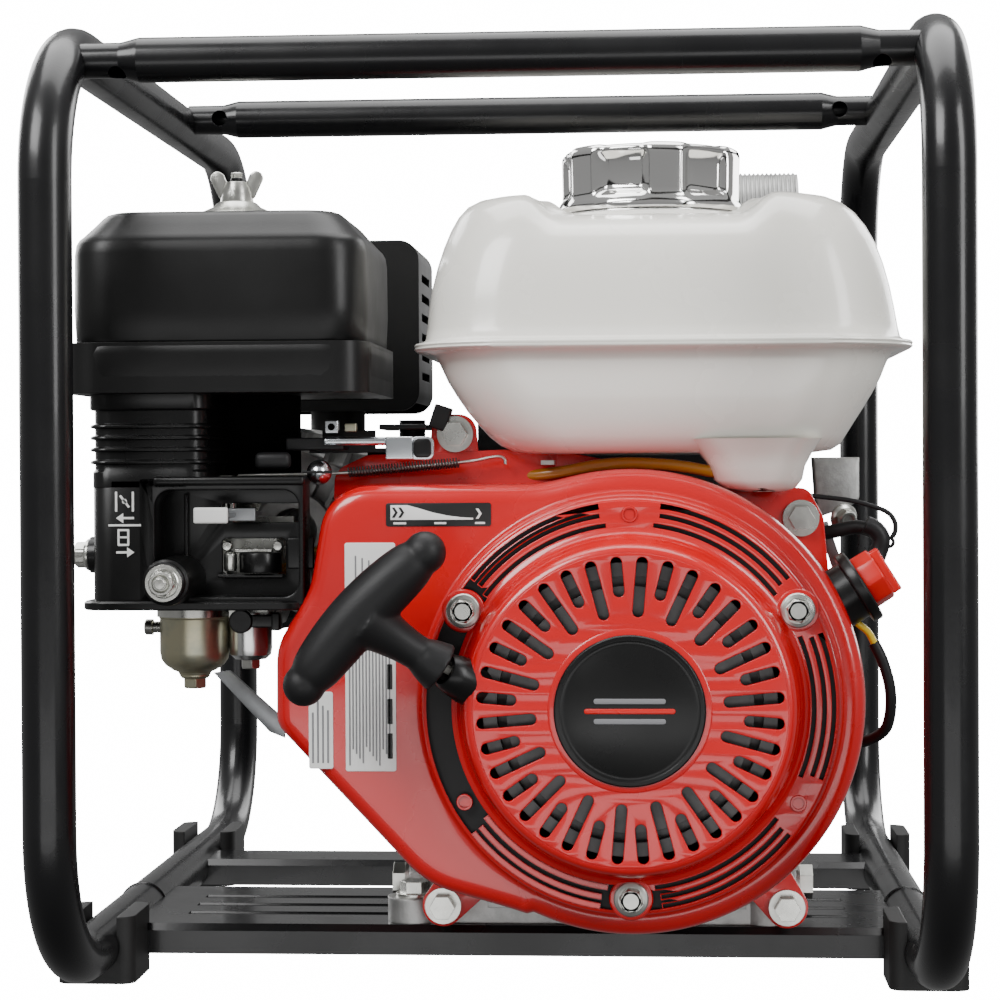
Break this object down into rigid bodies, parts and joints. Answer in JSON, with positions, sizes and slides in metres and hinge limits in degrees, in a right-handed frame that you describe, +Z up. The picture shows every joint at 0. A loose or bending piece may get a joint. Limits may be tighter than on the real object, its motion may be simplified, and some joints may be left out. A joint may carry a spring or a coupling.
{
  "type": "gas engine trash pump",
  "caption": "Petrol engine trash pump in a tubular carry frame: recoil-start engine driving a self-priming pump with threaded ports.",
  "frame": {"origin": "on the ground, under the middle of the carry frame's box", "axes": "+Z up; +Y from the recoil starter to the pump's suction; +X from the air cleaner to the discharge thread"},
  "size_m": [0.405, 0.4782, 0.423],
  "materials": {
    "frame_paint": "semi-gloss black powder coat",
    "red_paint": "glossy red enamel",
    "white_paint": "glossy off-white enamel",
    "chrome": "polished plate",
    "black_plastic": "moulded, fine grain",
    "red_plastic": "moulded, glossy",
    "grey_plastic": "moulded",
    "cast_aluminium": "as cast",
    "zinc_steel": "bright zinc plate",
    "dark_steel": "oiled steel",
    "cast_iron": "machined and as cast",
    "black_paint": "heat-proof matte black",
    "pump_paint": "satin black on cast aluminium",
    "rubber": "moulded",
    "amber_hose": "translucent hose",
    "yellow_lead": "insulated lead",
    "rope": "braided",
    "foam": "open-cell foam and paper"
  },
  "bodies": {
    "chassis": {"frame_hoop_left": "frame_paint", "frame_hoop_right": "frame_paint", "cross_tubes": "frame_paint", "base_plates": "frame_paint", "rubber_feet": "rubber", "bolts_nuts_and_plugs": "zinc_steel", "crankcase": "cast_aluminium", "crankcase_cover": "cast_aluminium", "cylinder_head": "cast_aluminium", "rocker_cover": "zinc_steel", "spark_plug": "rubber", "connecting_rod": "cast_aluminium", "piston": "cast_aluminium", "bearings_and_seal": "dark_steel", "ignition_coil": "dark_steel", "fan_cover": "red_paint", "recoil_housing": "red_paint", "starter_centre_disc": "black_plastic", "engine_switch_base": "black_plastic", "fuel_tank_upper": "white_paint", "fuel_tank_lower": "white_paint", "air_cleaner_case": "black_plastic", "filter_element": "foam", "air_cleaner_elbow": "black_plastic", "carburettor_body": "zinc_steel", "carburettor_bowls": "zinc_steel", "muffler": "black_paint", "muffler_guard": "black_paint", "engine_stays": "black_paint", "switch_lead": "yellow_lead", "fuel_hose": "amber_hose", "pump_adapter": "cast_aluminium", "pump_casing": "pump_paint", "volute": "cast_iron", "discharge_elbow": "cast_aluminium"},
    "crank_group": {"crankshaft": "dark_steel", "flywheel": "cast_iron", "cooling_fan": "black_plastic", "starter_cup": "zinc_steel", "impeller": "cast_iron"},
    "camshaft": {"camshaft": "dark_steel"},
    "recoil_reel": {"recoil_reel": "dark_steel"},
    "recoil_grip": {"recoil_grip": "black_plastic", "recoil_rope": "rope"},
    "engine_switch": {"engine_switch_knob": "red_plastic"},
    "fuel_cap": {"fuel_cap": "chrome"},
    "dipstick": {"oil_filler_dipstick": "grey_plastic"},
    "choke_lever": {"choke_lever": "grey_plastic"},
    "fuel_valve_lever": {"fuel_valve_lever": "grey_plastic"},
    "throttle_lever": {"throttle_lever": "zinc_steel"},
    "throttle_shaft": {"throttle_shaft": "zinc_steel"},
    "governor_arm": {"governor_arm": "zinc_steel"},
    "governor_rod": {"governor_rod": "dark_steel"},
    "air_cleaner_cover": {"air_cleaner_cover": "black_plastic"},
    "wing_nut": {"wing_nut": "zinc_steel"},
    "clean_out_cover": {"clean_out_cover": "pump_paint"},
    "knob_left": {"cover_knob_left": "black_plastic"},
    "knob_right": {"cover_knob_right": "black_plastic"},
    "check_flap": {"suction_check_flap": "rubber"},
    "priming_cap": {"priming_cap": "black_plastic"}
  },
  "joints": [
    {"name": "crankshaft_spin", "type": "hinge", "parent": "chassis", "child": "crank_group", "pos_m": [0.055, 0, 0.128], "axis": [0, 1, 0], "continuous": true},
    {"name": "camshaft_spin", "type": "hinge", "parent": "chassis", "child": "camshaft", "pos_m": [0.03694, 0, 0.07838], "axis": [0, 1, 0], "continuous": true},
    {"name": "recoil_pull", "type": "slide", "parent": "chassis", "child": "recoil_grip", "axis": [-0.7046, -0.5588, 0.4373], "range_m": [0, 0.45]},
    {"name": "recoil_reel_spin", "type": "hinge", "parent": "chassis", "child": "recoil_reel", "pos_m": [0.055, -0.19, 0.128], "axis": [0, 1, 0], "range_deg": [0, 460]},
    {"name": "engine_switch_turn", "type": "hinge", "parent": "chassis", "child": "engine_switch", "pos_m": [0.1484, -0.15, 0.1734], "axis": [0.848, 0, 0.53], "range_deg": [0, 60]},
    {"name": "fuel_cap_turn", "type": "hinge", "parent": "chassis", "child": "fuel_cap", "pos_m": [0.064, -0.08, 0.36], "axis": [0, 0, 1], "range_deg": [0, 90]},
    {"name": "dipstick_pull", "type": "slide", "parent": "chassis", "child": "dipstick", "axis": [1, 0, 0], "range_m": [0, 0.05]},
    {"name": "choke_lever_swing", "type": "hinge", "parent": "chassis", "child": "choke_lever", "pos_m": [-0.115, -0.126, 0.2], "axis": [0, 0, 1], "range_deg": [0, 35]},
    {"name": "fuel_valve_swing", "type": "hinge", "parent": "chassis", "child": "fuel_valve_lever", "pos_m": [-0.12, -0.133, 0.1615], "axis": [0, 1, 0], "range_deg": [0, 85]},
    {"name": "throttle_lever_swing", "type": "hinge", "parent": "chassis", "child": "throttle_lever", "pos_m": [-0.046, -0.1, 0.25], "axis": [0, 0, 1], "range_deg": [0, 19]},
    {"name": "governor_rod_slide", "type": "slide", "parent": "chassis", "child": "governor_rod", "axis": [1, 0, 0], "range_m": [0, 0.005]},
    {"name": "governor_arm_swing", "type": "hinge", "parent": "chassis", "child": "governor_arm", "pos_m": [0.018, -0.106, 0.2], "axis": [0, 0, 1], "range_deg": [0, 12]},
    {"name": "throttle_shaft_turn", "type": "hinge", "parent": "chassis", "child": "throttle_shaft", "pos_m": [-0.128, -0.116, 0.2], "axis": [0, 0, 1], "range_deg": [0, 20]},
    {"name": "air_cover_lift", "type": "slide", "parent": "chassis", "child": "air_cleaner_cover", "axis": [0, 0, 1], "range_m": [0, 0.05]},
    {"name": "wing_nut_turn", "type": "hinge", "parent": "air_cleaner_cover", "child": "wing_nut", "pos_m": [-0.1236, -0.12, 0.35], "axis": [0, 0, 1], "continuous": true},
    {"name": "clean_out_cover_slide", "type": "slide", "parent": "chassis", "child": "clean_out_cover", "axis": [0, 1, 0], "range_m": [0, 0.06]},
    {"name": "knob_left_turn", "type": "hinge", "parent": "clean_out_cover", "child": "knob_left", "pos_m": [-0.023, 0.2, 0.128], "axis": [0, 1, 0], "continuous": true},
    {"name": "knob_right_turn", "type": "hinge", "parent": "clean_out_cover", "child": "knob_right", "pos_m": [0.133, 0.2, 0.128], "axis": [0, 1, 0], "continuous": true},
    {"name": "check_flap_swing", "type": "hinge", "parent": "chassis", "child": "check_flap", "pos_m": [0.055, 0.18, 0.277], "axis": [-1, 0, 0], "range_deg": [0, 50]},
    {"name": "priming_cap_turn", "type": "hinge", "parent": "chassis", "child": "priming_cap", "pos_m": [0.055, 0.157, 0.29], "axis": [0, 0, 1], "range_deg": [0, 360]}
  ],
  "couplings": [
    {"joint": "camshaft_spin", "follows": "crankshaft_spin", "ratio": -0.5},
    {"joint": "recoil_reel_spin", "follows": "recoil_pull", "rad_per_m": 17.24},
    {"joint": "governor_rod_slide", "follows": "throttle_lever_swing", "m_per_rad": 0.01357},
    {"joint": "governor_arm_swing", "follows": "throttle_lever_swing", "ratio": 0.45233},
    {"joint": "throttle_shaft_turn", "follows": "throttle_lever_swing", "ratio": 0.60311}
  ]
}
